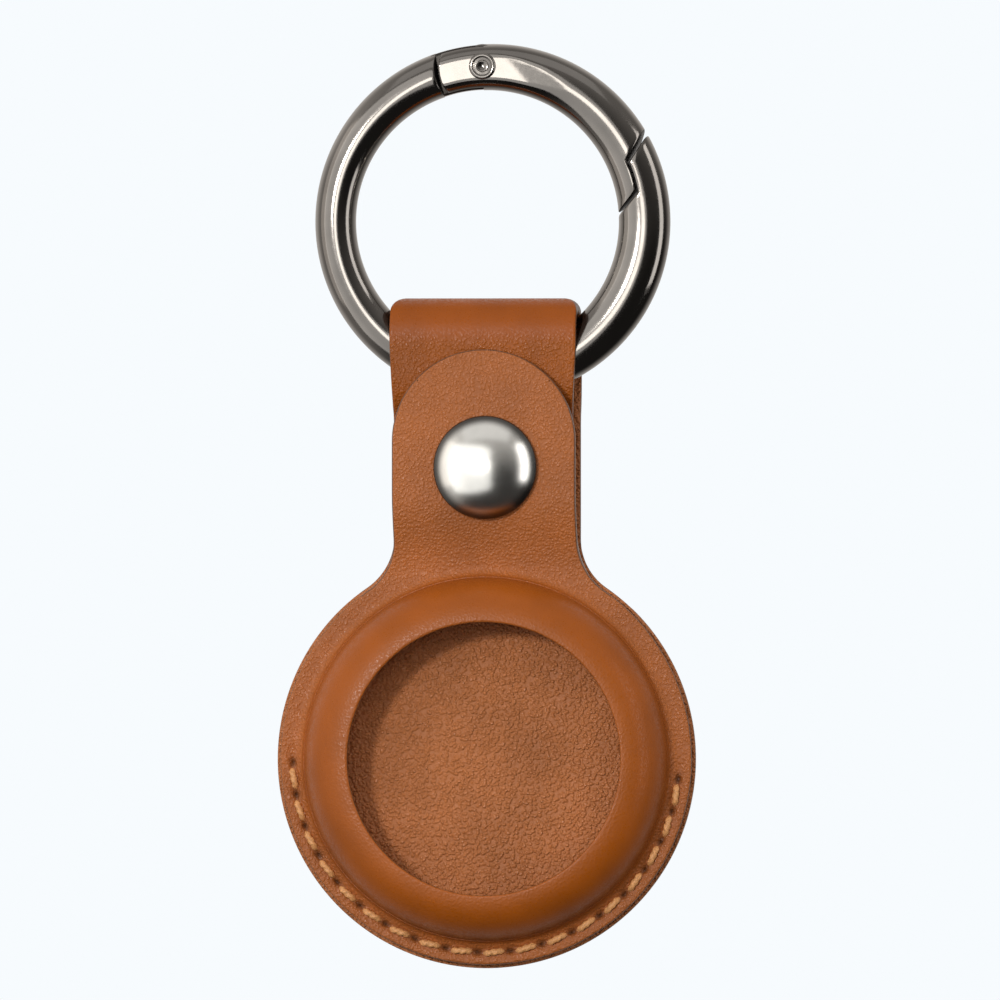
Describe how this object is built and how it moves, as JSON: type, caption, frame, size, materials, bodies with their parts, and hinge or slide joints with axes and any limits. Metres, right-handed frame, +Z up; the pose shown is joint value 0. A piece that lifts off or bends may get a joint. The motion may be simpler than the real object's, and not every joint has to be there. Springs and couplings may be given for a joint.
{
  "type": "tracker tag holder",
  "caption": "Leather key-ring holder for a coin-shaped tracker: round moulded pocket with a window, snap tongue and a strap looped on a spring-gate ring.",
  "frame": {"origin": "centre of the ring's inner circle, in the ring's middle plane", "axes": "+Z up along the holder towards the gate's hinge, the front faces -Y, +X to the right seen from the front"},
  "size_m": [0.0404, 0.0122, 0.0893],
  "materials": {
    "gunmetal": "polished black nickel plating",
    "satin_nickel": "satin nickel",
    "spring_steel": "drawn wire",
    "tan_leather": "tan, fine pebble grain",
    "lining_leather": "tan, coarser pebble grain",
    "tan_thread": "waxed polyester thread"
  },
  "bodies": {
    "ring": {"ring_body": "gunmetal"},
    "gate": {"ring_gate": "gunmetal", "gate_pin": "gunmetal", "gate_spring": "spring_steel"},
    "plunger": {"gate_plunger": "spring_steel"},
    "holder": {"back_panel": "tan_leather", "back_lining": "lining_leather", "front_panel": "tan_leather", "front_lining": "lining_leather", "snap_stud": "satin_nickel", "snap_post": "satin_nickel", "seam_top_stitches": "tan_thread", "seam_bobbin_stitches": "tan_thread"},
    "tongue": {"front_tongue": "tan_leather", "tongue_lining": "lining_leather", "snap_cap": "satin_nickel", "snap_cap_rivet": "satin_nickel", "snap_socket": "satin_nickel", "snap_socket_spring": "spring_steel"}
  },
  "joints": [
    {"name": "strap_slide", "type": "hinge", "parent": "ring", "child": "holder", "pos_m": [0, 0, 0], "axis": [0, 1, 0], "range_deg": [-30, 110]},
    {"name": "gate_swing", "type": "hinge", "parent": "ring", "child": "gate", "pos_m": [-0.00043, 0, 0.015], "axis": [0, 1, 0], "range_deg": [0, 38], "stiffness_Nm_per_rad": 0.02, "springref_deg": -34.38},
    {"name": "plunger_slide", "type": "slide", "parent": "gate", "child": "plunger", "axis": [0.9781, 0, -0.2079], "range_m": [0, 0.0005], "deforming": ["gate_spring"]},
    {"name": "tongue_flex", "type": "hinge", "parent": "holder", "child": "tongue", "pos_m": [0, -0.00329, -0.0336], "axis": [1, 0, 0], "range_deg": [0, 80], "stiffness_Nm_per_rad": 0.001, "springref_deg": -5.73, "deforming": ["snap_socket_spring"]}
  ],
  "couplings": [
    {"joint": "plunger_slide", "follows": "gate_swing", "m_per_rad": 0.00075}
  ]
}
